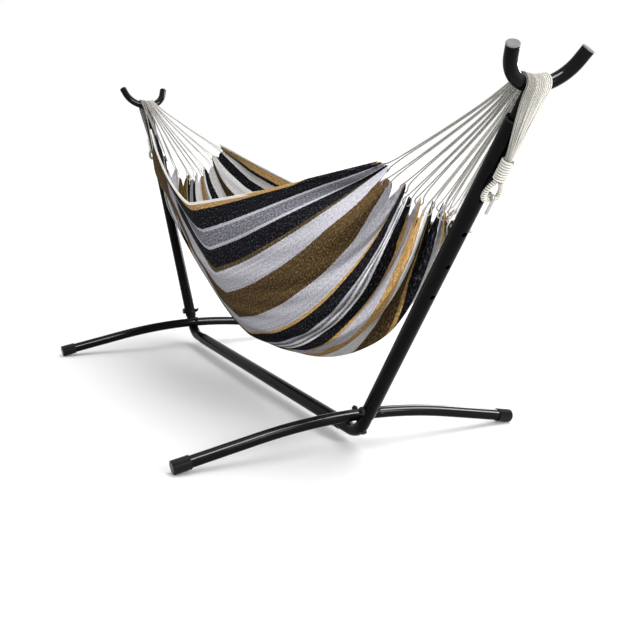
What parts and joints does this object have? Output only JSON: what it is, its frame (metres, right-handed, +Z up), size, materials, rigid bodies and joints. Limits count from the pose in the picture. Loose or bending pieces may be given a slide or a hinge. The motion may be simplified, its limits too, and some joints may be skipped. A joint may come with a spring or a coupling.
{
  "type": "hammock on stand",
  "caption": "Striped cotton hammock slung by fans of cords between the leaning uprights of a black tubular steel floor stand with arched cross feet and forked cord cradles.",
  "frame": {"origin": "on the floor under the middle of the beam, halfway between the feet", "axes": "+X along the beam, +Y along the feet, away from the side with the round bolt heads, +Z up"},
  "size_m": [2.832, 1.1504, 1.0972],
  "materials": {
    "black_powder_coat": "satin black powder coat with a slight orange peel",
    "black_hardware": "black zinc fasteners, semi-matte",
    "cap_plastic": "black moulded plastic",
    "plug_plastic": "dark grey moulded plastic end plug",
    "collar_plastic": "black moulded plastic",
    "hook_steel": "zinc-plated steel wire",
    "cotton_cord": "undyed twisted cotton cord",
    "striped_cloth": "coarse heathered cotton weave in lengthwise stripes of charcoal, pale grey, cream, brown and mustard"
  },
  "bodies": {
    "stand": {"beam": "black_powder_coat", "beam_screws": "black_hardware", "cradle_left": "black_powder_coat", "cradle_plug_left_back": "plug_plastic", "cradle_plug_left_front": "plug_plastic", "cradle_plug_right_back": "plug_plastic", "cradle_plug_right_front": "plug_plastic", "cradle_right": "black_powder_coat", "elbow_left": "black_powder_coat", "elbow_right": "black_powder_coat", "eye_loop_left": "cotton_cord", "eye_loop_right": "cotton_cord", "foot_bolts": "black_hardware", "foot_cap_left_back": "cap_plastic", "foot_cap_left_front": "cap_plastic", "foot_cap_right_back": "cap_plastic", "foot_cap_right_front": "cap_plastic", "foot_left": "black_powder_coat", "foot_nuts": "black_hardware", "foot_right": "black_powder_coat", "hook_left": "hook_steel", "hook_right": "hook_steel", "neck_whipping_left": "cotton_cord", "neck_whipping_right": "cotton_cord", "rope_tail_left": "cotton_cord", "rope_tail_right": "cotton_cord", "saddle_cords_left": "cotton_cord", "saddle_cords_right": "cotton_cord", "top_collar_left": "collar_plastic", "top_collar_right": "collar_plastic", "upright_bolts": "black_hardware", "upright_left": "black_powder_coat", "upright_right": "black_powder_coat"},
    "hammock": {"hammock_cloth": "striped_cloth", "fan_cords_right": "cotton_cord", "fan_cords_left": "cotton_cord"},
    "wing_nut_right": {"wing_nut_right": "black_hardware"},
    "wing_nut_left": {"wing_nut_left": "black_hardware"}
  },
  "joints": [
    {"name": "hammock_swing", "type": "hinge", "parent": "stand", "child": "hammock", "pos_m": [0, 0, 1.0207], "axis": [1, 0, 0], "range_deg": [-25, 25]},
    {"name": "wing_nut_right_turn", "type": "hinge", "parent": "stand", "child": "wing_nut_right", "pos_m": [0.7616, 0, 0.1318], "axis": [0, 1, 0], "continuous": true},
    {"name": "wing_nut_left_turn", "type": "hinge", "parent": "stand", "child": "wing_nut_left", "pos_m": [-0.7616, 0, 0.1318], "axis": [0, 1, 0], "continuous": true}
  ]
}
